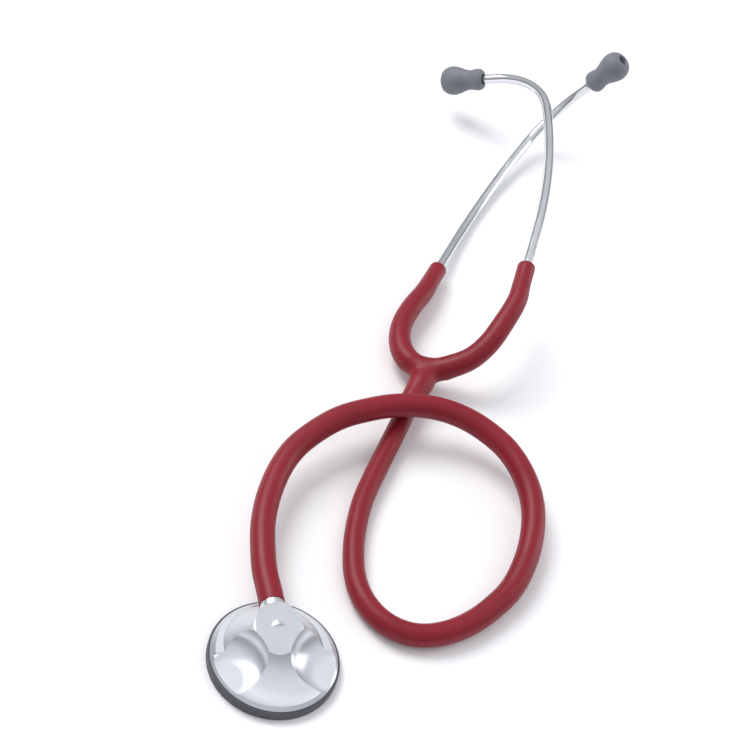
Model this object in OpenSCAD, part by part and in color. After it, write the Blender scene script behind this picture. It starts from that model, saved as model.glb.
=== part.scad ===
// Single-sided stethoscope lying on a table, millimetres, +Z up.
// The origin is the centre of the chestpiece's resting face; +Y runs towards the ear tips.

/* [Chestpiece] */
// Outer diameter of the non-chill rim
rim_d = 48.5; // [46:0.1:49]
// Height of the rim
rim_h = 3.7; // [3.5:0.1:4]
// Diameter of the steel body above the rim
body_d = 46.6; // [45:0.1:46.8]
// Height above the table that the knob's sloping top is cut from
knob_top = 20; // [19:0.1:21]
// Slope of the knob's top, rising towards the stem
knob_slope = 20; // [15:0.5:22]
// Diameter of the knob
knob_d = 16.6; // [15:0.1:17]
// Distance from the disc's centre to the knob's centre, towards the stem
knob_offset = 5; // [4:0.1:5.5]
// Direction of the stem, counter-clockwise from +Y
stem_heading = 23; // [20:0.5:26]
// Radius of each scoop beside the ridge
scoop_r = 16; // [15:0.1:17]
// Width of the ridge at its waist
ridge_w = 5.8; // [5:0.1:7]
// Diameter of the sound-collecting diaphragm
diaphragm_d = 37.6; // [37:0.1:37.8]

/* [Hose] */
// Hose diameter at the chestpiece
hose_d = 9.5; // [9:0.1:10]
// Hose diameter at the yoke
hose_end_d = 8.3; // [8:0.1:8.5]

/* [Yoke] */
// Outer diameter of the sleeves that hold the ear tubes
sleeve_d = 7.8; // [7.7:0.05:8]
// Depth of the ear tube inside its sleeve
tube_insert = 14; // [13:0.5:14]

/* [Headset] */
// Outer diameter of the ear tubes
tube_d = 4.4; // [4.3:0.05:4.4]
// Bore of the ear tubes
tube_bore = 3; // [2.6:0.1:3.2]
// Straight length from the sleeve to the first bend
tube_straight = 20; // [18:1:22]
// Radius of the long bend
long_bend_r = 255; // [240:5:270]
// Angle of the long bend
long_bend_angle = 18; // [17:0.5:19]
// Radius of the tight bend
tight_bend_r = 31; // [29:0.5:33]
// Angle of the tight bend
tight_bend_angle = 70; // [68:1:72]
// Straight length after the tight bend
tube_tip = 7; // [6:0.5:8]
// Length of an ear tip
eartip_l = 20.5; // [19:0.5:21]
// Widest diameter of an ear tip
eartip_d = 13.4; // [12.5:0.1:13.6]

/* [Hidden] */

round_fn = 96;
fit_gap = 0.05;             // running clearance between the ear tube and its sleeve

// Chestpiece heights above the table
lip_h = 0.9;                // rim's inner lip under the surround
boss_z = 1.7;               // underside of the body's boss inside the rim
boss_d = 44.4;
diaphragm_z = 0.5;
diaphragm_t = 0.4;
stem_z = 12.5;
channel_y = 4;                // the drilled passage turns up here, well under the sloping top
hose_start = 17;            // distance of the hose's end face from the disc's centre
channel_r = 1.6;
band_h = 0.4;               // upright band of steel above the rim
bevel_w = 1.8;              // bevel above that band, as far as the scoops' edge
bevel_h = 1.7;
scoop_y = -9;               // height of the ridge's waist along the chestpiece's axis
scoop_floor = 4.9;
scoop_wall_r = 10;
flare_r = 18;
flare_reach = 24.5;
flare_z = 5.2;              // lowest height that the flare cuts to
flare_end = 0.3;            // the flare stops at this distance along the axis
slope_y = -5;               // front edge of the knob's sloping top
slope_z = 12.5;
cone_y = 3;                 // shoulder cone behind and beside the knob
cone_r = 19.8;
cone_top_r = 9.5;
cone_top = 15.5;
bell_r = 18.5;              // shallow bell under the body
bell_throat_r = 3;
bell_h = 1.6;
stem_boss_r = 4.4;
stem_r = 3.1;
stem_seat = 8;              // distance of the stem's inner end from the disc's centre
stem_end = 32;
barb_r = 3.5;
barb_at = [22, 26, 30];

// Route of the hose's centre line, from the chestpiece to the yoke
ROUTE = [
    [-6.64, 15.65, 12.5], [-9.4, 21.4, 12.5], [-12.9, 28.5, 12.5], [-16.6, 39, 12.7], [-19.4, 49.5, 13],
    [-20.8, 62.5, 13.4], [-20.2, 76.5, 13.9], [-17.4, 88.5, 14.5], [-11.8, 99.5, 15.3], [-4.5, 109.5, 16],
    [4, 117, 16.4], [14, 124, 16.5], [24.5, 128.5, 16.5], [35, 130.5, 16.2], [45, 130.1, 15.4],
    [54, 127.5, 14.5], [62, 123.5, 13.5], [69, 117, 12.5], [75, 108.5, 11], [78.8, 98.5, 9.8],
    [80.5, 86.5, 8.4], [80, 73.5, 7], [77.5, 62, 5.8], [72.5, 51.5, 5.1], [65.5, 41, 4.8],
    [57, 33, 4.7], [48, 28.5, 4.6], [39.5, 28, 4.6], [31.5, 31, 4.5], [24.5, 37, 4.5],
    [19.5, 45.5, 4.4], [16.2, 56.5, 4.3], [14.3, 69, 4.3], [13.8, 82.5, 4.4], [15, 96, 4.7],
    [16.7, 109.5, 5.3], [18.5, 123.5, 6.4], [20, 137, 7.5]];
taper_from = 21;            // point of the route where the hose starts to narrow
taper_over = 10;            // number of points that it narrows over
hose_sides = 10;
tube_sides = 20;

// Centre lines of the yoke: a point and the radius there
NECK = [[[20, 137, 7.5], 4.15], [[21, 143, 7.9], 5.4], [[22.4, 149.5, 8.3], 6.2], [[23.2, 154.5, 8.7], 4.8]];
LEFT_LIMB = [
    [[24.5, 156.5, 8.9], 5], [[17.8, 156.9, 8.5], 5], [[12.8, 160.2, 8.4], 4.9], [[8.8, 167.5, 8.3], 4.7],
    [[7.4, 178, 8.2], 4.5], [[9, 189, 8.3], 4.45]];
RIGHT_LIMB = [
    [[21, 155.5, 8.8], 4.9], [[27, 156.8, 10.2], 5.1], [[32.3, 159, 12.8], 4.9], [[38.8, 162.8, 16.8], 4.7],
    [[43.7, 169.2, 21.6], 4.6], [[46.9, 178, 26], 4.5]];
limb_sides = 16;
sleeve_back = [0, 10, 20];  // distances behind the mouth where the straight sleeve has rings
sleeve_step = 0.35;         // extra radius where the sleeve meets the limb
spring_middle = [22.4, 156.4, 9.1];

// Headset pose: the arms open in the plane that these place
headset_origin = [32.5, 215, 19.4];
headset_tilt = [18, -36, -16];
half_gap = 22.3;            // half the distance between the sleeve mouths
// Each side: splay outwards, pitch out of the plane, swivel about the sleeve (degrees)
RIGHT_POSE = [-8, -2.4, 9];
LEFT_POSE = [9.3, -18, 23];

// Spring and clip inside the yoke
clip_d = 5.8;
clip_l = 9;
clip_end = 5;               // distance of the clip's front end behind the mouth
tail_l = 5;
tail_w = 3.2;
tail_t = 0.7;
tail_z = -2.6;              // underside of the clip's tail, just outside the ear tube
pocket_d = 6.2;
pocket_gap = 0.5;
spring_w = 4.4;
spring_t = 0.6;
rivet_r = 0.6;
rivet_head = 0.35;

// Tip of the headset
nipple_d = 5.4;
nipple_l = 7;
core_bore_gap = 0.05;
core_d = 6.8;
core_l = 15;
core_hole_r = 1.9;
tip_hole_r = 2.3;
collar_d = 10;
waist_d = 9.2;

// ---------- helpers ----------

function unit(v) = v / norm(v);
function rot_x(a, v) = [v[0], v[1] * cos(a) - v[2] * sin(a), v[1] * sin(a) + v[2] * cos(a)];
function rot_y(a, v) = [v[0] * cos(a) + v[2] * sin(a), v[1], -v[0] * sin(a) + v[2] * cos(a)];
function rot_z(a, v) = [v[0] * cos(a) - v[1] * sin(a), v[0] * sin(a) + v[1] * cos(a), v[2]];
function tilt(v) = rot_z(headset_tilt[2], rot_y(headset_tilt[1], rot_x(headset_tilt[0], v)));
// Mouth centre and outward sleeve direction in the row frame; side is 1 on the right, -1 on the left
function mouth(side) = headset_origin + tilt([side * half_gap, 0, 0]);
function sleeve_dir(side, pose) =
    let (d = rot_z(-pose[0], rot_x(pose[1], [0, 1, 0]))) tilt([side * d[0], d[1], d[2]]);

function tangent(pts, i) =
    unit(pts[min(i + 1, len(pts) - 1)] - pts[max(i - 1, 0)]);
// A ring of n points round pts[i]; width and height let a flat strip use the same sweep
function ring(pts, i, rx, rz, n, start) =
    let (t = tangent(pts, i), side = unit(cross(t, [0, 0, 1])), up = cross(side, t))
    [for (k = [0:n - 1]) let (a = start + 360 * k / n) pts[i] + rx * cos(a) * side + rz * sin(a) * up];
function flatten(list) = [for (part = list) each part];

// Two triangles for each patch between ring i and ring i + 1; first is the number of ring 0's first point
function wall(rings, n, first) = [for (i = [0:rings - 2], k = [0:n - 1])
    let (a = first + i * n + k, b = first + i * n + (k + 1) % n)
        each [[a, b, b + n], [a, b + n, a + n]]];
function reversed(faces) = [for (f = faces) [f[2], f[1], f[0]]];
// Annulus between the rings that start at points a and b
function annulus(a, b, n) = [for (k = [0:n - 1])
    let (m = (k + 1) % n) each [[a + k, b + k, b + m], [a + k, b + m, a + m]]];

// Sweep a ring of n points, of radius rx[i] across and rz[i] high, along pts
module sweep(pts, rx, rz, n, start = 0) {
    last = len(pts) - 1;
    points = flatten([for (i = [0:last]) ring(pts, i, rx[i], rz[i], n, start)]);
    caps = [[for (k = [n - 1:-1:0]) k], [for (k = [0:n - 1]) last * n + k]];
    polyhedron(points = points, faces = concat(wall(last + 1, n, 0), caps), convexity = 10);
}

// A pipe along pts, open at both ends
module hollow_sweep(pts, outer_r, inner_r, n) {
    rings = len(pts);
    total = rings * n;
    points = flatten([for (r = [outer_r, inner_r], i = [0:rings - 1]) ring(pts, i, r, r, n, 0)]);
    ends = concat(annulus(0, total, n), reversed(annulus(total - n, 2 * total - n, n)));
    polyhedron(points = points, convexity = 10,
               faces = concat(wall(rings, n, 0), reversed(wall(rings, n, total)), ends));
}

// Put a child in the frame of one sleeve: origin at the mouth, +Y out of it
module on_sleeve(side, pose) {
    translate(headset_origin) rotate(headset_tilt)
        mirror([side < 0 ? 1 : 0, 0, 0])
            translate([half_gap, 0, 0]) rotate([0, 0, -pose[0]]) rotate([pose[1], 0, 0]) rotate([0, pose[2], 0])
                children();
}

// Put a child in the frame of the chestpiece: +Y towards the hose
module on_chest() rotate([0, 0, stem_heading]) children();

// Cylinder along +Y from y = a to y = b
module rod(r, a, b) translate([0, a, 0]) rotate([-90, 0, 0]) cylinder(r = r, h = b - a, $fn = round_fn);

// ---------- chestpiece ----------

// Hollow beside the ridge: a round dish with a wide concave wall
module scoop(side) {
    translate([side * (ridge_w / 2 + scoop_r), scoop_y, scoop_floor])
        rotate_extrude($fn = round_fn)
            intersection() {
                square([scoop_r, scoop_wall_r + knob_top]);
                union() {
                    square([scoop_r - scoop_wall_r, knob_top]);
                    translate([0, scoop_wall_r]) square([scoop_r, knob_top]);
                    translate([scoop_r - scoop_wall_r, scoop_wall_r]) circle(r = scoop_wall_r, $fn = round_fn);
                }
            }
}

// Concave sweep, in front of the knob only, that the knob flares down to the disc's edge along
module front_flare() {
    intersection() {
        translate([0, knob_offset, flare_z + flare_r]) rotate_extrude($fn = round_fn)
            translate([flare_reach, 0]) circle(r = flare_r, $fn = round_fn);
        translate([-body_d, flare_end - body_d, 0]) cube([2 * body_d, body_d, body_d]);
    }
}

module chestpiece_body() {
    band_z = rim_h + band_h;
    color([0.84, 0.86, 0.89]) on_chest() difference() {
        union() {
            translate([0, 0, boss_z]) cylinder(d = boss_d, h = rim_h - boss_z, $fn = round_fn);
            translate([0, 0, rim_h]) cylinder(d = body_d, h = band_h, $fn = round_fn);
            difference() {
                union() {
                    translate([0, 0, band_z])
                        cylinder(d1 = body_d, d2 = body_d - 2 * bevel_w, h = bevel_h, $fn = round_fn);
                    translate([0, cone_y, band_z])
                        cylinder(r1 = cone_r, r2 = cone_top_r, h = cone_top - band_z, $fn = round_fn);
                    translate([0, knob_offset, band_z]) cylinder(d = knob_d, h = knob_top - band_z, $fn = round_fn);
                }
                translate([0, slope_y, slope_z]) rotate([knob_slope, 0, 0])
                    translate([-body_d, -body_d, 0]) cube([2 * body_d, 2 * body_d, knob_top]);
                for (side = [-1, 1]) scoop(side);
                front_flare();
            }
            translate([0, 0, stem_z]) rod(stem_boss_r, knob_offset, hose_start);
        }
        translate([0, 0, boss_z - 0.1]) cylinder(r1 = bell_r, r2 = bell_throat_r, h = bell_h, $fn = round_fn);
        translate([0, channel_y, boss_z]) cylinder(r = channel_r, h = stem_z - boss_z, $fn = round_fn);
        translate([0, 0, stem_z]) rod(channel_r, channel_y, stem_seat);
        translate([0, 0, stem_z]) rod(stem_r, stem_seat, hose_start + 1);
    }
}

module tube_stem() {
    color([0.75, 0.77, 0.8]) on_chest() translate([0, 0, stem_z]) difference() {
        union() {
            rod(stem_r, stem_seat, stem_end);
            for (y = barb_at) translate([0, y, 0]) rotate([-90, 0, 0])
                cylinder(r1 = barb_r, r2 = stem_r, h = 2, $fn = round_fn);
        }
        rod(channel_r, stem_seat - 1, stem_end + 1);
    }
}

module diaphragm() {
    color([0.9, 0.9, 0.88]) translate([0, 0, diaphragm_z])
        cylinder(d = diaphragm_d, h = diaphragm_t, $fn = round_fn);
}

module diaphragm_surround() {
    inner = diaphragm_d / 2 + fit_gap;
    color([0.3, 0.3, 0.33]) rotate_extrude($fn = round_fn)
        polygon([[inner, diaphragm_z], [inner + 0.8, diaphragm_z], [20.7, lip_h], [22.1, lip_h],
                 [22.1, boss_z], [20.4, boss_z], [20, diaphragm_z + 0.6], [inner, diaphragm_z + 0.4]]);
}

module diaphragm_rim() {
    color([0.33, 0.33, 0.37]) difference() {
        cylinder(d = rim_d, h = rim_h, $fn = round_fn);
        translate([0, 0, lip_h]) cylinder(d = boss_d, h = rim_h, $fn = round_fn);
        translate([0, 0, -1]) cylinder(r = 20.6, h = rim_h, $fn = round_fn);
    }
}

// ---------- hose and yoke ----------

module acoustic_tube() {
    last = len(ROUTE) - 1;
    radii = [for (i = [0:last])
        hose_d / 2 + (hose_end_d - hose_d) / 2 * max(0, min(1, (i - taper_from) / taper_over))];
    color([0.56, 0.16, 0.21]) sweep(ROUTE, radii, radii, hose_sides);
}

// The straight sleeve's rings, listed from the limb to the mouth
function sleeve_rings(side, pose) =
    [for (k = [len(sleeve_back) - 1:-1:0])
        [mouth(side) - sleeve_back[k] * sleeve_dir(side, pose), sleeve_d / 2 + (k == 2 ? sleeve_step : 0)]];

module limb(points) {
    radii = [for (p = points) p[1]];
    sweep([for (p = points) p[0]], radii, radii, limb_sides);
}

module sleeve_hollow() {
    rod(tube_d / 2 + fit_gap, -clip_end - 1, 1);
    rod(pocket_d / 2, -tube_insert - tail_l - pocket_gap, -clip_end + pocket_gap);
}

module yoke() {
    color([0.56, 0.16, 0.21]) difference() {
        union() {
            limb(NECK);
            limb(concat(LEFT_LIMB, sleeve_rings(-1, LEFT_POSE)));
            limb(concat(RIGHT_LIMB, sleeve_rings(1, RIGHT_POSE)));
        }
        on_sleeve(-1, LEFT_POSE) sleeve_hollow();
        on_sleeve(1, RIGHT_POSE) sleeve_hollow();
    }
}

// Steel U spring along the middle of both limbs, stopping short of the clips
module leaf_spring() {
    left_half = [for (i = [len(LEFT_LIMB) - 1:-1:2]) LEFT_LIMB[i][0]];
    right_half = [for (i = [2:len(RIGHT_LIMB) - 1]) RIGHT_LIMB[i][0]];
    path = concat(left_half, [spring_middle], right_half);
    root2 = sqrt(2);
    color([0.7, 0.7, 0.72])
        sweep(path, [for (p = path) spring_t / root2], [for (p = path) spring_w / root2], 4, 45);
}

// ---------- headset ----------

module spring_clip(side, pose) {
    color([0.72, 0.73, 0.75]) on_sleeve(side, pose) {
        difference() {
            union() {
                rod(clip_d / 2, -tube_insert, -clip_end);
                translate([-tail_w / 2, -tube_insert - tail_l, tail_z]) cube([tail_w, tail_l + 1, tail_t]);
            }
            rod(tube_d / 2 + fit_gap, -tube_insert, 0);
        }
    }
}

module clip_rivets(side, pose) {
    color([0.8, 0.8, 0.8]) on_sleeve(side, pose)
        for (k = [1, 2]) translate([0, -tube_insert - k * tail_l / 3, tail_z - rivet_head])
            cylinder(r = rivet_r, h = tail_t + 2 * rivet_head, $fn = 32);
}

// Centre line of an ear tube in its sleeve's frame, bending towards -X
function arc_points(radius, angle, steps) =
    [for (k = [1:steps]) let (a = angle * k / steps) [-radius * (1 - cos(a)), radius * sin(a), 0]];
function after_bend(radius, angle, points) =
    [for (p = points) [-radius * (1 - cos(angle)), radius * sin(angle), 0] + rot_z(angle, p)];
function tube_path() =
    let (tip = [[0, tube_tip / 2, 0], [0, tube_tip, 0]],
         tight = concat(arc_points(tight_bend_r, tight_bend_angle, 14),
                        after_bend(tight_bend_r, tight_bend_angle, tip)),
         long = concat(arc_points(long_bend_r, long_bend_angle, 8),
                       after_bend(long_bend_r, long_bend_angle, tight)))
    concat([[0, -tube_insert, 0], [0, 0, 0], [0, tube_straight - 3, 0], [0, tube_straight, 0]],
           [for (p = long) p + [0, tube_straight, 0]]);
module ear_tube(side, pose)
    color([0.8, 0.82, 0.84]) on_sleeve(side, pose)
        hollow_sweep(tube_path(), tube_d / 2, tube_bore / 2, tube_sides);

// Put a child at the end of an ear tube: origin on its end face, +Y along it
module on_tip(side, pose) {
    on_sleeve(side, pose) translate([-long_bend_r, tube_straight, 0]) rotate([0, 0, long_bend_angle])
        translate([long_bend_r - tight_bend_r, 0, 0]) rotate([0, 0, tight_bend_angle])
            translate([tight_bend_r, tube_tip, 0]) children();
}

module tip_nipple(side, pose) {
    color([0.7, 0.72, 0.75]) on_tip(side, pose) difference() {
        rod(nipple_d / 2, 1, nipple_l + 1);
        rod(tube_d / 2, -1, nipple_l + 2);
    }
}

module eartip_core(side, pose) {
    color([0.12, 0.13, 0.15]) on_tip(side, pose) difference() {
        rod(core_d / 2, 0.3, core_l);
        rod(nipple_d / 2 + core_bore_gap, 0, nipple_l + 1.4);
        rod(core_hole_r, nipple_l, core_l + 1);
    }
}

module eartip(side, pose) {
    bulb_r = eartip_d / 2;
    color([0.49, 0.5, 0.54]) on_tip(side, pose) difference() {
        rotate([-90, 0, 0]) rotate_extrude($fn = round_fn)
            polygon([[0, 0], [3.4, 0], [4.3, 0.5], [collar_d / 2, 1.8], [collar_d / 2, 3.6], [waist_d / 2, 6.2],
                     [waist_d / 2 + 0.3, 8.4], [5.7, 10.6], [6.4, 12.8], [bulb_r, 14.8], [bulb_r - 0.2, 16.6],
                     [5.8, 18.4], [4.7, 19.7], [3.2, eartip_l], [0, eartip_l]]);
        rod(core_d / 2 + 0.01, 0.3, core_l);
        rod(tube_d / 2 + 0.3, -1, 1);
        rod(tip_hole_r, core_l - 1, eartip_l + 1);
    }
}

module left_spring_clip() spring_clip(-1, LEFT_POSE);
module left_clip_rivets() clip_rivets(-1, LEFT_POSE);
module left_ear_tube() ear_tube(-1, LEFT_POSE);
module left_tip_nipple() tip_nipple(-1, LEFT_POSE);
module left_eartip_core() eartip_core(-1, LEFT_POSE);
module left_eartip() eartip(-1, LEFT_POSE);
module right_spring_clip() spring_clip(1, RIGHT_POSE);
module right_clip_rivets() clip_rivets(1, RIGHT_POSE);
module right_ear_tube() ear_tube(1, RIGHT_POSE);
module right_tip_nipple() tip_nipple(1, RIGHT_POSE);
module right_eartip_core() eartip_core(1, RIGHT_POSE);
module right_eartip() eartip(1, RIGHT_POSE);

chestpiece_body();
tube_stem();
diaphragm();
diaphragm_surround();
diaphragm_rim();
acoustic_tube();
yoke();
leaf_spring();
left_spring_clip();
left_clip_rivets();
left_ear_tube();
left_tip_nipple();
left_eartip_core();
left_eartip();
right_spring_clip();
right_clip_rivets();
right_ear_tube();
right_tip_nipple();
right_eartip_core();
right_eartip();
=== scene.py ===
"""Looks of the stethoscope.

It has a burgundy hose and yoke, a satin steel chestpiece, chrome ear tubes and grey ear tips. Everything
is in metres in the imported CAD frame: origin at the centre of the chestpiece's resting face, +Z up,
+Y towards the ear tips.
"""
import math

import bmesh
import bpy
import numpy as np
from mathutils import Matrix, Vector
from mathutils.kdtree import KDTree


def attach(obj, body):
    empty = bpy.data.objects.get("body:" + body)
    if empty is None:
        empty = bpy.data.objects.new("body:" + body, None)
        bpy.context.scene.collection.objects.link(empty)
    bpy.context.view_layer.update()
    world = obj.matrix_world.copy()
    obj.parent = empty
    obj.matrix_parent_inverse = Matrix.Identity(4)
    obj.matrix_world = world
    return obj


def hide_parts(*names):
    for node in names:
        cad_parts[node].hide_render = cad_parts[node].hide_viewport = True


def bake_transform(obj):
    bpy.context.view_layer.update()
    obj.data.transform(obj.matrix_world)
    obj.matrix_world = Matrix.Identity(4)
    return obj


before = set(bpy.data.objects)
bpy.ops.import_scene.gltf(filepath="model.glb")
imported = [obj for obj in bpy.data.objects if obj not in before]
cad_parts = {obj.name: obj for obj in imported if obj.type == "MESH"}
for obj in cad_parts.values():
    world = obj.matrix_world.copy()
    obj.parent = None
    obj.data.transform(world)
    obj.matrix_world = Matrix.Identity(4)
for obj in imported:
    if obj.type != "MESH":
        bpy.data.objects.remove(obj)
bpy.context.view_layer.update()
MM = 0.001

# ---------- sizes, in millimetres, as in the part's source ----------

RIM_R, RIM_H, RIM_LIP_R, LIP_H = 24.25, 3.7, 20.6, 0.9
RIM_ROUND, BOSS_R = 0.45, 22.2

HOSE_R, HOSE_END_R, TAPER_FROM, TAPER_OVER = 4.75, 4.15, 21, 10
ROUTE = [
    (-6.64, 15.65, 12.5), (-9.4, 21.4, 12.5), (-12.9, 28.5, 12.5), (-16.6, 39, 12.7), (-19.4, 49.5, 13),
    (-20.8, 62.5, 13.4), (-20.2, 76.5, 13.9), (-17.4, 88.5, 14.5), (-11.8, 99.5, 15.3), (-4.5, 109.5, 16),
    (4, 117, 16.4), (14, 124, 16.5), (24.5, 128.5, 16.5), (35, 130.5, 16.2), (45, 130.1, 15.4),
    (54, 127.5, 14.5), (62, 123.5, 13.5), (69, 117, 12.5), (75, 108.5, 11), (78.8, 98.5, 9.8),
    (80.5, 86.5, 8.4), (80, 73.5, 7), (77.5, 62, 5.8), (72.5, 51.5, 5.1), (65.5, 41, 4.8),
    (57, 33, 4.7), (48, 28.5, 4.6), (39.5, 28, 4.6), (31.5, 31, 4.5), (24.5, 37, 4.5),
    (19.5, 45.5, 4.4), (16.2, 56.5, 4.3), (14.3, 69, 4.3), (13.8, 82.5, 4.4), (15, 96, 4.7),
    (16.7, 109.5, 5.3), (18.5, 123.5, 6.4), (20, 137, 7.5)]

# Yoke: a point of the centre line and the radius there
NECK = [((20, 137, 7.5), 4.15), ((21, 143, 7.9), 5.0), ((22.4, 149.5, 8.3), 5.6), ((23.2, 154.5, 8.7), 4.6)]
LIMB = {
    "left": [((24.5, 156.5, 8.9), 5), ((17.8, 156.9, 8.5), 5), ((12.8, 160.2, 8.4), 4.9),
             ((8.8, 167.5, 8.3), 4.7), ((7.4, 178, 8.2), 4.5), ((9, 189, 8.3), 4.45)],
    "right": [((21, 155.5, 8.8), 4.9), ((27, 156.8, 10.2), 5.1), ((32.3, 159, 12.8), 4.9),
              ((38.8, 162.8, 16.8), 4.7), ((43.7, 169.2, 21.6), 4.6), ((46.9, 178, 26), 4.5)]}
U_MIDDLE = ((22.4, 156.4, 9.1), 5.0)                        # bottom of the U that the two arms make
SLEEVE_R, SLEEVE_L, SLEEVE_STEP = 3.9, 20, 0.35
MOUTH_ROUND, HOLE_R, HOLE_DEPTH = 0.9, 2.25, 6
SPRING_W, SPRING_T = 4.4, 0.6

HEADSET_ORIGIN = (32.5, 215, 19.4)
HEADSET_TILT = (18, -36, -16)
HALF_GAP = 22.3
POSE = {"left": (9.3, -18, 23), "right": (-8, -2.4, 9)}      # splay, pitch, swivel
SIDE = {"left": -1, "right": 1}

TUBE_R, TUBE_BORE_R, TUBE_EDGE, TUBE_INSERT, TUBE_STRAIGHT = 2.2, 1.5, 0.3, 14, 20
LONG_BEND, TIGHT_BEND, TUBE_TIP = (255, 18), (31, 70), 7    # radius, angle
EARTIP_HOLE_R, CORE_END, EARTIP_BORE_R, EARTIP_L = 2.3, 15, 3.4, 20.5


# ---------- camera ----------

def add_camera():
    """Looks down at 46 degrees and is rolled 18 degrees, from 0.83 m away."""
    camera = bpy.data.objects.new("camera", bpy.data.cameras.new("camera"))
    bpy.context.collection.objects.link(camera)
    camera.data.lens = 96
    camera.data.sensor_width = 36
    right, up, back = (0.9511, 0.2223, 0.2147), (-0.3090, 0.6841, 0.6607), (0, -0.6947, 0.7193)
    turn = Matrix((right, up, back)).transposed().to_4x4()
    camera.matrix_world = Matrix.Translation((0.0032, -0.4213, 0.5945)) @ turn
    bpy.context.scene.camera = camera


add_camera()


# ---------- mesh helpers ----------

def metres(point):
    return Vector(point) * MM


def turned(degrees, axis):
    return Matrix.Rotation(math.radians(degrees), 4, axis)


def new_object(name, bm, material, smooth_angle=None):
    mesh = bpy.data.meshes.new(name)
    bmesh.ops.recalc_face_normals(bm, faces=bm.faces)
    bm.to_mesh(mesh)
    bm.free()
    mesh.shade_smooth()
    if smooth_angle is not None:
        mesh.set_sharp_from_angle(angle=math.radians(smooth_angle))
    mesh.materials.append(material)
    obj = bpy.data.objects.new(name, mesh)
    bpy.context.collection.objects.link(obj)
    return obj


def smooth_curve(knots, per_span):
    """Points along a centripetal Catmull-Rom curve through the knots; a knot is a vector of any length."""
    k = np.array(knots, float)
    k = np.vstack([2 * k[0] - k[1], k, 2 * k[-1] - k[-2]])
    out = []
    for i in range(1, len(k) - 2):
        p = k[i - 1:i + 3]
        t = np.cumsum([0] + [max(1e-6, np.linalg.norm((p[j + 1] - p[j])[:3])) ** 0.5 for j in range(3)])
        for s in np.linspace(t[1], t[2], per_span, endpoint=False):
            a = [(t[j + 1] - s) / (t[j + 1] - t[j]) * p[j] + (s - t[j]) / (t[j + 1] - t[j]) * p[j + 1]
                 for j in range(3)]
            b = [(t[j + 2] - s) / (t[j + 2] - t[j]) * a[j] + (s - t[j]) / (t[j + 2] - t[j]) * a[j + 1]
                 for j in range(2)]
            out.append((t[2] - s) / (t[2] - t[1]) * b[0] + (s - t[1]) / (t[2] - t[1]) * b[1])
    out.append(k[-2])
    return [tuple(float(value) for value in point) for point in out]


def sweep_rings(points, radii, sides):
    """Rings of a round tube along the points, turned as little as possible from one to the next."""
    points = [Vector(p) for p in points]
    last = len(points) - 1
    tangents = [(points[min(i + 1, last)] - points[max(i - 1, 0)]).normalized() for i in range(last + 1)]
    across = tangents[0].cross(Vector((0, 0, 1))).normalized()
    rings = []
    for point, tangent, radius in zip(points, tangents, radii):
        across = (across - tangent * across.dot(tangent)).normalized()
        up = across.cross(tangent)
        rings.append([point + radius * (math.cos(a) * across + math.sin(a) * up)
                      for a in (2 * math.pi * k / sides for k in range(sides))])
    return rings


def skin(bm, rings, closed=False):
    """Quads between successive rings; closed also joins the last ring to the first."""
    rows = [[bm.verts.new(p) for p in ring] for ring in rings]
    sides = len(rows[0])
    spans = range(len(rows) if closed else len(rows) - 1)
    for i in spans:
        a, b = rows[i], rows[(i + 1) % len(rows)]
        for k in range(sides):
            m = (k + 1) % sides
            bm.faces.new((a[k], a[m], b[m], b[k]))
    return rows


def lathe(profile, steps, place=Matrix.Identity(4), closed=True):
    """A solid of revolution about +Z of a closed (radius, height) profile in millimetres, in metres."""
    bm = bmesh.new()
    rings = [[place @ metres((r * math.cos(a), r * math.sin(a), z))
              for a in (2 * math.pi * k / steps for k in range(steps))] for r, z in profile]
    skin(bm, rings, closed)
    return bm


def rounded(profile, radius, steps=5):
    """The closed profile with each corner of it rounded to the radius, or to less beside a short side."""
    out = []
    for i, corner in enumerate(profile):
        c = Vector(corner)
        a, b = Vector(profile[i - 1]) - c, Vector(profile[(i + 1) % len(profile)]) - c
        angle = a.angle(b)
        if angle > math.radians(172):
            out.append(tuple(c))
            continue
        cut = min(radius / math.tan(angle / 2), 0.45 * a.length, 0.45 * b.length)
        r = cut * math.tan(angle / 2)
        middle = c + (a.normalized() + b.normalized()).normalized() * (r / math.sin(angle / 2))
        start, end = c + a.normalized() * cut - middle, c + b.normalized() * cut - middle
        sweep_angle = start.angle_signed(end)
        for k in range(steps + 1):
            t = -sweep_angle * k / steps
            out.append((middle.x + start.x * math.cos(t) - start.y * math.sin(t),
                        middle.y + start.x * math.sin(t) + start.y * math.cos(t)))
    return out


# ---------- node helpers ----------

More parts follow.
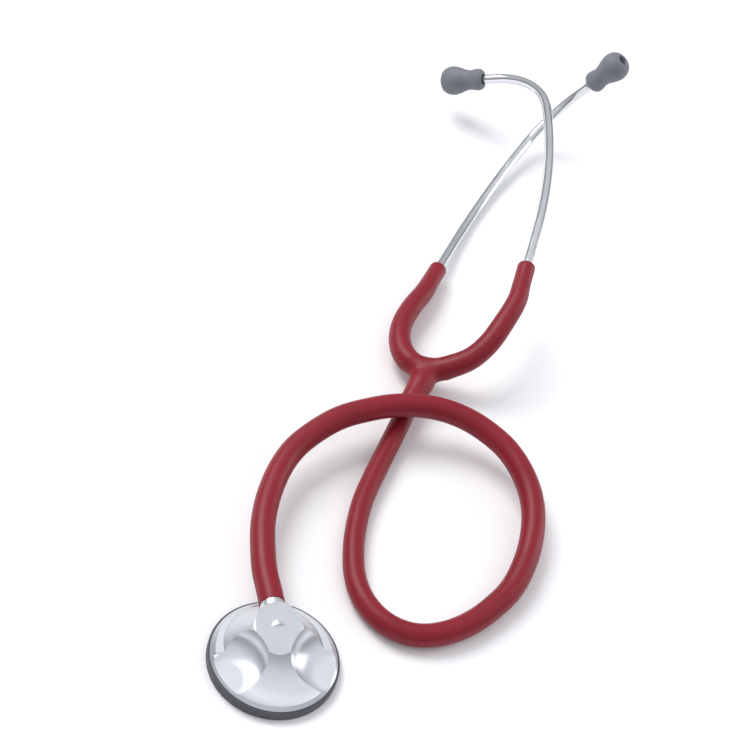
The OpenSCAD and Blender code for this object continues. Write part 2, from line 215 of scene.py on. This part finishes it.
class Nodes:
    """A material and short names for the nodes that it is built from."""

    def __init__(self, name):
        self.material = bpy.data.materials.new(name)
        self.material.use_nodes = True
        self.tree = self.material.node_tree
        self.shader = self.tree.nodes["Principled BSDF"]

    def add(self, kind, inputs=None, **settings):
        node = self.tree.nodes.new(kind)
        for key, value in settings.items():
            setattr(node, key, value)
        for key, value in (inputs or {}).items():
            if isinstance(value, bpy.types.NodeSocket):
                self.tree.links.new(value, node.inputs[key])
            else:
                node.inputs[key].default_value = value
        return node

    def place(self, scale=(1, 1, 1), rotation=(0, 0, 0)):
        """Object coordinates, scaled; the objects' own origins are all the row frame's."""
        coordinates = self.add("ShaderNodeTexCoord").outputs["Object"]
        return self.add("ShaderNodeMapping", {
            "Vector": coordinates, "Scale": scale, "Rotation": rotation}).outputs[0]

    def noise(self, scale, detail=3, roughness=0.5, vector=None):
        return self.add("ShaderNodeTexNoise", {
            "Vector": vector or self.place(), "Scale": scale, "Detail": detail,
            "Roughness": roughness}).outputs["Fac"]

    def ramp(self, value, stops):
        node = self.add("ShaderNodeValToRGB", {"Fac": value})
        ramp = node.color_ramp
        while len(ramp.elements) < len(stops):
            ramp.elements.new(0.5)
        for element, (position, colour) in zip(ramp.elements, stops):
            element.position = position
            element.color = colour if len(colour) == 4 else (*colour, 1)
        return node.outputs["Color"]

    def spread(self, value, low, high):
        """A value of about 0.3 to 0.7, as noise has, mapped to low..high."""
        return self.add("ShaderNodeMapRange", {
            "Value": value, "From Min": 0.3, "From Max": 0.7, "To Min": low,
            "To Max": high}).outputs["Result"]

    def bump(self, height, strength, distance, after=None):
        inputs = {"Height": height, "Strength": strength, "Distance": distance}
        if after is not None:
            inputs["Normal"] = after
        return self.add("ShaderNodeBump", inputs).outputs["Normal"]

    def set(self, **inputs):
        for key, value in inputs.items():
            socket = self.shader.inputs[key.replace("_", " ")]
            if isinstance(value, bpy.types.NodeSocket):
                self.tree.links.new(value, socket)
            else:
                socket.default_value = value
        return self.material


def grey(value):
    return (value, value, value)


# ---------- materials ----------

def pvc_material():
    """Burgundy moulded PVC: satin, with a faint mottle and a fine moulded grain."""
    n = Nodes("burgundy_pvc")
    mottle = n.noise(38, 4)
    grain = n.noise(2400, 2, 0.6)
    colour = n.ramp(mottle, [(0.3, (0.215, 0.004, 0.013)), (0.7, (0.255, 0.006, 0.018))])
    bump = n.bump(grain, 0.10, 0.00006, n.bump(n.noise(150, 3), 0.08, 0.0003))
    return n.set(Base_Color=colour, Roughness=n.spread(n.noise(90, 4), 0.40, 0.48), Normal=bump,
                 Specular_IOR_Level=0.35)


def steel_material():
    """Satin steel turned on a lathe: fine rings about the disc's centre and a slow change of gloss."""
    n = Nodes("satin_steel")
    rings = n.add("ShaderNodeTexWave", {
        "Vector": n.place(), "Scale": 900, "Distortion": 0.6, "Detail": 2, "Detail Scale": 3},
        wave_type="RINGS", rings_direction="Z")
    blast = n.noise(1800, 2, 0.6)
    colour = n.ramp(n.noise(60, 3), [(0.3, (0.70, 0.72, 0.75)), (0.7, (0.76, 0.78, 0.81))])
    bump = n.bump(blast, 0.06, 0.00004, n.bump(rings.outputs["Fac"], 0.035, 0.00003))
    gloss = n.spread(n.noise(45, 3), 0.30, 0.36)
    return n.set(Base_Color=colour, Metallic=1.0, Roughness=gloss, Normal=bump)


def chrome_material():
    """Polished chrome with faint polishing lines and the odd soft smear."""
    n = Nodes("polished_chrome")
    smear = n.noise(70, 4)
    lines = n.noise(900, 2, 0.5)
    bump = n.bump(lines, 0.04, 0.00003)
    colour = n.ramp(smear, [(0.3, (0.70, 0.71, 0.73)), (0.7, (0.76, 0.77, 0.79))])
    return n.set(Base_Color=colour, Metallic=1.0, Roughness=n.spread(smear, 0.10, 0.16), Normal=bump)


def spring_material(name, low, high, roughness):
    """Rolled or drawn steel with a lengthwise grain."""
    n = Nodes(name)
    grain = n.noise(500, 3, 0.6, n.place(scale=(1, 0.08, 1)))
    return n.set(Base_Color=n.ramp(grain, [(0.3, grey(low)), (0.7, grey(high))]), Metallic=1.0,
                 Roughness=n.spread(grain, roughness, roughness + 0.1), Normal=n.bump(grain, 0.08, 0.00004))


def rubber_material(name, dark, light, roughness):
    """Matte moulded rubber with a powdery bloom and fine pores."""
    n = Nodes(name)
    bloom = n.noise(120, 5, 0.6)
    pores = n.noise(3000, 2, 0.7)
    bump = n.bump(pores, 0.10, 0.00005, n.bump(n.noise(260, 3), 0.06, 0.0002))
    return n.set(Base_Color=n.ramp(bloom, [(0.3, dark), (0.7, light)]), Normal=bump,
                 Roughness=n.spread(n.noise(150, 3), roughness, roughness + 0.1), Specular_IOR_Level=0.35)


def membrane_material():
    """Pale glass-fibre membrane with its fine woven grid and a semi-gloss face."""
    n = Nodes("membrane")
    weave = n.add("ShaderNodeTexChecker", {"Vector": n.place(), "Scale": 1600})
    colour = n.ramp(weave.outputs["Fac"], [(0.0, (0.70, 0.69, 0.65)), (1.0, (0.80, 0.79, 0.75))])
    return n.set(Base_Color=colour, Roughness=n.spread(n.noise(80, 3), 0.28, 0.36),
                 Normal=n.bump(weave.outputs["Fac"], 0.08, 0.00004))


PVC = pvc_material()
STEEL = steel_material()
CHROME = chrome_material()
SPRING = spring_material("spring_steel", 0.38, 0.5, 0.28)
NICKEL = spring_material("nickel_plate", 0.55, 0.66, 0.22)
RIM = rubber_material("rim_rubber", (0.068, 0.068, 0.082), (0.086, 0.086, 0.102), 0.42)
SURROUND = rubber_material("surround_rubber", (0.05, 0.05, 0.06), (0.065, 0.065, 0.075), 0.5)
TIP = rubber_material("eartip_rubber", (0.165, 0.172, 0.198), (0.198, 0.205, 0.232), 0.5)
CORE = rubber_material("core_plastic", (0.012, 0.014, 0.018), (0.02, 0.022, 0.026), 0.35)
MEMBRANE = membrane_material()


# ---------- hose ----------

def add_hose():
    """One smooth curve through the route, with the gentle taper towards the yoke."""
    curve = bpy.data.curves.new("acoustic_hose", "CURVE")
    curve.dimensions = "3D"
    curve.bevel_depth = MM
    curve.bevel_resolution = 10
    curve.use_fill_caps = True
    knots = [(*p, HOSE_R + (HOSE_END_R - HOSE_R) * max(0, min(1, (i - TAPER_FROM) / TAPER_OVER)))
             for i, p in enumerate(ROUTE)]
    line = smooth_curve(knots, 6)
    spline = curve.splines.new("POLY")
    spline.points.add(len(line) - 1)
    for point, (x, y, z, radius) in zip(spline.points, line):
        point.co = (x * MM, y * MM, z * MM, 1)
        point.radius = radius
    spline.use_smooth = True
    curve.materials.append(PVC)
    hose = bpy.data.objects.new("acoustic_hose", curve)
    bpy.context.collection.objects.link(hose)
    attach(hose, "root")
    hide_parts("acoustic_tube")


add_hose()


# ---------- chestpiece ----------

def add_rim():
    """The non-chill ring: a rounded rubber section with a lip that holds the surround."""
    profile = [(RIM_LIP_R, 0), (RIM_R, 0), (RIM_R, RIM_H), (BOSS_R, RIM_H), (BOSS_R, LIP_H),
               (RIM_LIP_R, LIP_H)]
    rim = new_object("rim", lathe(rounded(profile, RIM_ROUND), 192), RIM, 40)
    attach(rim, "root")
    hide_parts("diaphragm_rim")


add_rim()


def paint_cad_nodes():
    """Procedural finishes for the CAD nodes that show as they are."""
    finishes = {"chestpiece_body": STEEL, "tube_stem": NICKEL, "diaphragm": MEMBRANE,
                "diaphragm_surround": SURROUND}
    for side in SIDE:
        finishes.update({f"{side}_spring_clip": SPRING, f"{side}_clip_rivets": NICKEL,
                         f"{side}_tip_nipple": NICKEL, f"{side}_eartip_core": CORE})
    for name, material in finishes.items():
        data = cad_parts[name].data
        data.materials.clear()
        data.materials.append(material)


paint_cad_nodes()


# ---------- headset ----------

def sleeve_place(side):
    """Matrix of one sleeve's frame, in metres: origin at the mouth, +Y out of it."""
    splay, pitch, swivel = POSE[side]
    tilt_x, tilt_y, tilt_z = HEADSET_TILT
    tilt = turned(tilt_z, "Z") @ turned(tilt_y, "Y") @ turned(tilt_x, "X")
    mirror = Matrix.Diagonal((SIDE[side], 1, 1, 1))
    aim = turned(-splay, "Z") @ turned(pitch, "X") @ turned(swivel, "Y")
    own = Matrix.Translation(metres((HALF_GAP, 0, 0))) @ aim
    return Matrix.Translation(metres(HEADSET_ORIGIN)) @ tilt @ mirror @ own


def tube_line():
    """Centre line of an ear tube in its sleeve's frame, in millimetres, and the matrix at its end."""
    place = Matrix.Translation((0, -TUBE_INSERT, 0))
    points = []

    def straight(length, steps):
        nonlocal place
        for k in range(steps):
            points.append(place @ Vector((0, length * k / steps, 0)))
        place = place @ Matrix.Translation((0, length, 0))

    def bend(radius, angle, steps):
        nonlocal place
        centre = place @ Matrix.Translation((-radius, 0, 0))
        for k in range(steps):
            points.append(centre @ turned(angle * k / steps, "Z") @ Vector((radius, 0, 0)))
        place = centre @ turned(angle, "Z") @ Matrix.Translation((radius, 0, 0))

    straight(TUBE_INSERT + TUBE_STRAIGHT, 12)
    bend(*LONG_BEND, 36)
    bend(*TIGHT_BEND, 36)
    straight(TUBE_TIP, 4)
    points.append(place @ Vector((0, 0, 0)))
    return points, place


TUBE_POINTS, TUBE_END = tube_line()


def add_ear_tube(side):
    """Polished pipe with a real bore and bevelled ends."""
    place = sleeve_place(side)
    points = [place @ (p * MM) for p in TUBE_POINTS]
    lead = (points[1] - points[0]).normalized() * TUBE_EDGE * MM
    tail = (points[-1] - points[-2]).normalized() * TUBE_EDGE * MM
    line = [points[0], points[0] + lead, *points[1:-1], points[-1] - tail, points[-1]]
    outer = [TUBE_R - TUBE_EDGE] + [TUBE_R] * (len(line) - 2) + [TUBE_R - TUBE_EDGE]
    inner = [TUBE_BORE_R] * len(line)
    bm = bmesh.new()
    shell = sweep_rings(line, [r * MM for r in outer], 48)
    bore = sweep_rings(line, [r * MM for r in inner], 48)
    skin(bm, shell + bore[::-1], closed=True)
    tube = new_object(f"{side}_ear_pipe", bm, CHROME, 50)
    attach(tube, f"{side}_tube")
    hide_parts(f"{side}_ear_tube")


def add_eartip(side):
    """Soft mushroom ear tip: rolled collar, waist, bulb and the recessed sound hole."""
    outline = [(3.4, 0), (4.3, 0.5), (5, 1.8), (5, 3.6), (4.6, 6.2), (4.9, 8.4), (5.7, 10.6), (6.4, 12.8),
               (6.7, 14.8), (6.5, 16.6), (5.8, 18.4), (4.7, 19.7), (3.2, EARTIP_L)]
    outer = [point[:2] for point in smooth_curve([(r, z, 0) for r, z in outline], 5)]
    lip = [(2.75, EARTIP_L - 0.08), (2.45, EARTIP_L - 0.35), (EARTIP_HOLE_R, EARTIP_L - 0.9)]
    bore = [(EARTIP_HOLE_R, CORE_END), (EARTIP_BORE_R, CORE_END), (EARTIP_BORE_R, 0.3),
            (TUBE_R + 0.3, 0.3), (TUBE_R + 0.3, 0)]
    tube_end = Matrix.Scale(MM, 4) @ TUBE_END @ turned(-90, "X") @ Matrix.Scale(1 / MM, 4)
    place = sleeve_place(side) @ tube_end
    tip = new_object(f"{side}_ear_bud", lathe(outer + lip + bore, 96, place), TIP, 50)
    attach(tip, f"{side}_tip")
    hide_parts(f"{side}_eartip")


for side_name in SIDE:
    add_ear_tube(side_name)
    add_eartip(side_name)


# ---------- yoke ----------

VOXEL, SMOOTHING, FILLET_REACH, FILLET_PASSES = 0.4, 24, 11, 90


def arm_knots(side):
    """Centre line and radius from the U's bottom to the mouth of one sleeve, in millimetres."""
    place = sleeve_place(side)
    sleeve = [((place @ metres((0, -back, 0))) / MM, SLEEVE_R + (SLEEVE_STEP if back == SLEEVE_L else 0))
              for back in (SLEEVE_L, SLEEVE_L / 2, 0)]
    return [(*point, radius) for point, radius in LIMB[side][1:] + sleeve]


def tube_volume(bm, knots, sockets):
    """A closed smooth tube; sockets rounds its ends and sinks the ear tubes' holes into them."""
    line = smooth_curve(knots, 10)
    points = [metres(k[:3]) for k in line]
    radii = [k[3] * MM for k in line]
    if sockets:
        points, radii = with_sockets(points, radii)
    rows = skin(bm, sweep_rings(points, radii, 32))
    bm.faces.new(rows[0][::-1])
    bm.faces.new(rows[-1])


def with_sockets(points, radii):
    """Adds to each end of a line the rings of a rounded lip and of the hole behind it."""
    for _ in range(2):
        end, inward = points[-1], (points[-2] - points[-1]).normalized()
        while (points[-1] - end).length < MOUTH_ROUND * MM:
            points, radii = points[:-1], radii[:-1]
        outer = radii[-1]
        for k in range(6):
            a = math.pi / 2 * k / 5
            points.append(end + inward * MOUTH_ROUND * MM * (1 - math.sin(a)))
            radii.append(outer - MOUTH_ROUND * MM * (1 - math.cos(a)))
        for back in (0, HOLE_DEPTH):
            points.append(end + inward * back * MM)
            radii.append(HOLE_R * MM)
        points, radii = points[::-1], radii[::-1]
    return points, radii


def yoke_skin():
    """Y of moulded PVC as one smooth mesh."""
    bm = bmesh.new()
    middle, radius = U_MIDDLE
    tube_volume(bm, arm_knots("left")[::-1] + [(*middle, radius)] + arm_knots("right"), True)
    tube_volume(bm, [(*point, radius) for point, radius in NECK], False)
    whole = new_object("yoke_skin", bm, PVC)
    remesh = whole.modifiers.new("remesh", "REMESH")
    remesh.mode, remesh.voxel_size = "VOXEL", VOXEL * MM
    smooth = whole.modifiers.new("smooth", "SMOOTH")
    smooth.factor, smooth.iterations = 0.5, SMOOTHING
    mesh = bpy.data.meshes.new_from_object(whole.evaluated_get(bpy.context.evaluated_depsgraph_get()))
    bpy.data.objects.remove(whole)
    soften_junction(mesh)
    return mesh


def add_yoke():
    """The skin, cut at the U's bottom into a left and a right half."""
    whole = yoke_skin()
    normals = nearest_normals(whole)
    seam = (metres(LIMB["right"][1][0]) - metres(LIMB["left"][1][0])).normalized()
    for side, sign in SIDE.items():
        half = bmesh.new()
        half.from_mesh(whole)
        bmesh.ops.bisect_plane(half, geom=half.verts[:] + half.edges[:] + half.faces[:],
                               plane_co=metres(U_MIDDLE[0]), plane_no=-seam * sign, clear_outer=True)
        mesh = bpy.data.meshes.new(f"{side}_yoke_half")
        half.to_mesh(mesh)
        half.free()
        mesh.materials.clear()
        mesh.materials.append(PVC)
        mesh.shade_smooth()
        mesh.normals_split_custom_set_from_vertices([normals(v.co) for v in mesh.vertices])
        piece = bpy.data.objects.new(f"{side}_yoke_half", mesh)
        bpy.context.collection.objects.link(piece)
        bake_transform(piece)
        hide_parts("yoke")


def soften_junction(mesh):
    """Fillets where the neck runs into the two arms."""
    bm = bmesh.new()
    bm.from_mesh(mesh)
    centre = metres(NECK[2][0])
    near = [v for v in bm.verts if (v.co - centre).length < FILLET_REACH * MM]
    for _ in range(FILLET_PASSES):
        bmesh.ops.smooth_vert(bm, verts=near, factor=0.5, use_axis_x=True, use_axis_y=True, use_axis_z=True)
    bm.to_mesh(mesh)
    bm.free()


def nearest_normals(mesh):
    """Looks up the smooth normal of a mesh at the vertex nearest to a point."""
    tree = KDTree(len(mesh.vertices))
    for vertex in mesh.vertices:
        tree.insert(vertex.co, vertex.index)
    tree.balance()
    normals = [vertex.normal.copy() for vertex in mesh.vertices]
    return lambda point: normals[tree.find(point)[1]]


add_yoke()


def add_spring_half(side):
    """Strip of spring steel inside the yoke, from the U's bottom into one arm."""
    knots = [U_MIDDLE[0]] + [point for point, _ in LIMB[side][2:]]
    path = [metres(point) for point in smooth_curve(knots, 8)]
    last = len(path) - 1
    rings = []
    for i, point in enumerate(path):
        along = (path[min(i + 1, last)] - path[max(i - 1, 0)]).normalized()
        thick = along.cross(Vector((0, 0, 1))).normalized() * SPRING_T / 2 * MM
        wide = along.cross(thick).normalized() * SPRING_W / 2 * MM
        rings.append([point - thick - wide, point + thick - wide,
                      point + thick + wide, point - thick + wide])
    bm = bmesh.new()
    rows = skin(bm, rings)
    for row in (rows[0], rows[-1]):
        bm.faces.new(row)
    half = new_object(f"{side}_leaf_spring_half", bm, SPRING, 30)
    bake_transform(half)
    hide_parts("leaf_spring")


for side_name in SIDE:
    add_spring_half(side_name)


# ---------- floor and light ----------

def add_floor():
    bm = bmesh.new()
    half, rest_z = 6, -0.00005
    corners = ((-half, -half), (half, -half), (half, half), (-half, half))
    bm.faces.new([bm.verts.new((x, y, rest_z)) for x, y in corners])
    n = Nodes("floor")
    n.set(Base_Color=n.ramp(n.noise(3, 2), [(0.3, grey(0.95)), (0.7, grey(0.97))]), Roughness=0.9,
          Specular_IOR_Level=0.1)
    floor = new_object("floor", bm, n.material)


def add_area(name, place, target, size, watts):
    light = bpy.data.lights.new(name, "AREA")
    light.shape = "RECTANGLE"
    light.size, light.size_y = size
    light.energy = watts
    lamp = bpy.data.objects.new(name, light)
    bpy.context.collection.objects.link(lamp)
    lamp.location = place
    lamp.rotation_euler = (Vector(target) - Vector(place)).to_track_quat("-Z", "Y").to_euler()


def add_lights():
    middle = (0.02, 0.15, 0)
    add_area("key", (-1.0, 0.7, 1.5), middle, (1.0, 1.0), 22)
    add_area("rim_right", (1.3, 0.9, 0.5), middle, (0.5, 1.2), 6)
    world = bpy.data.worlds.new("studio")
    bpy.context.scene.world = world
    world.use_nodes = True
    tree = world.node_tree
    height = tree.nodes.new("ShaderNodeSeparateXYZ")
    tree.links.new(tree.nodes.new("ShaderNodeTexCoord").outputs["Generated"], height.inputs[0])
    ramp = tree.nodes.new("ShaderNodeValToRGB")
    tree.links.new(height.outputs["Z"], ramp.inputs["Fac"])
    ramp.color_ramp.elements[0].color = (0.20, 0.21, 0.23, 1)
    ramp.color_ramp.elements[1].position = 0.85
    ramp.color_ramp.elements[1].color = (0.86, 0.88, 0.92, 1)
    tree.links.new(ramp.outputs["Color"], tree.nodes["Background"].inputs["Color"])
    tree.nodes["Background"].inputs["Strength"].default_value = 0.95


add_floor()
add_lights()
bpy.context.scene.view_settings.view_transform = "Standard"
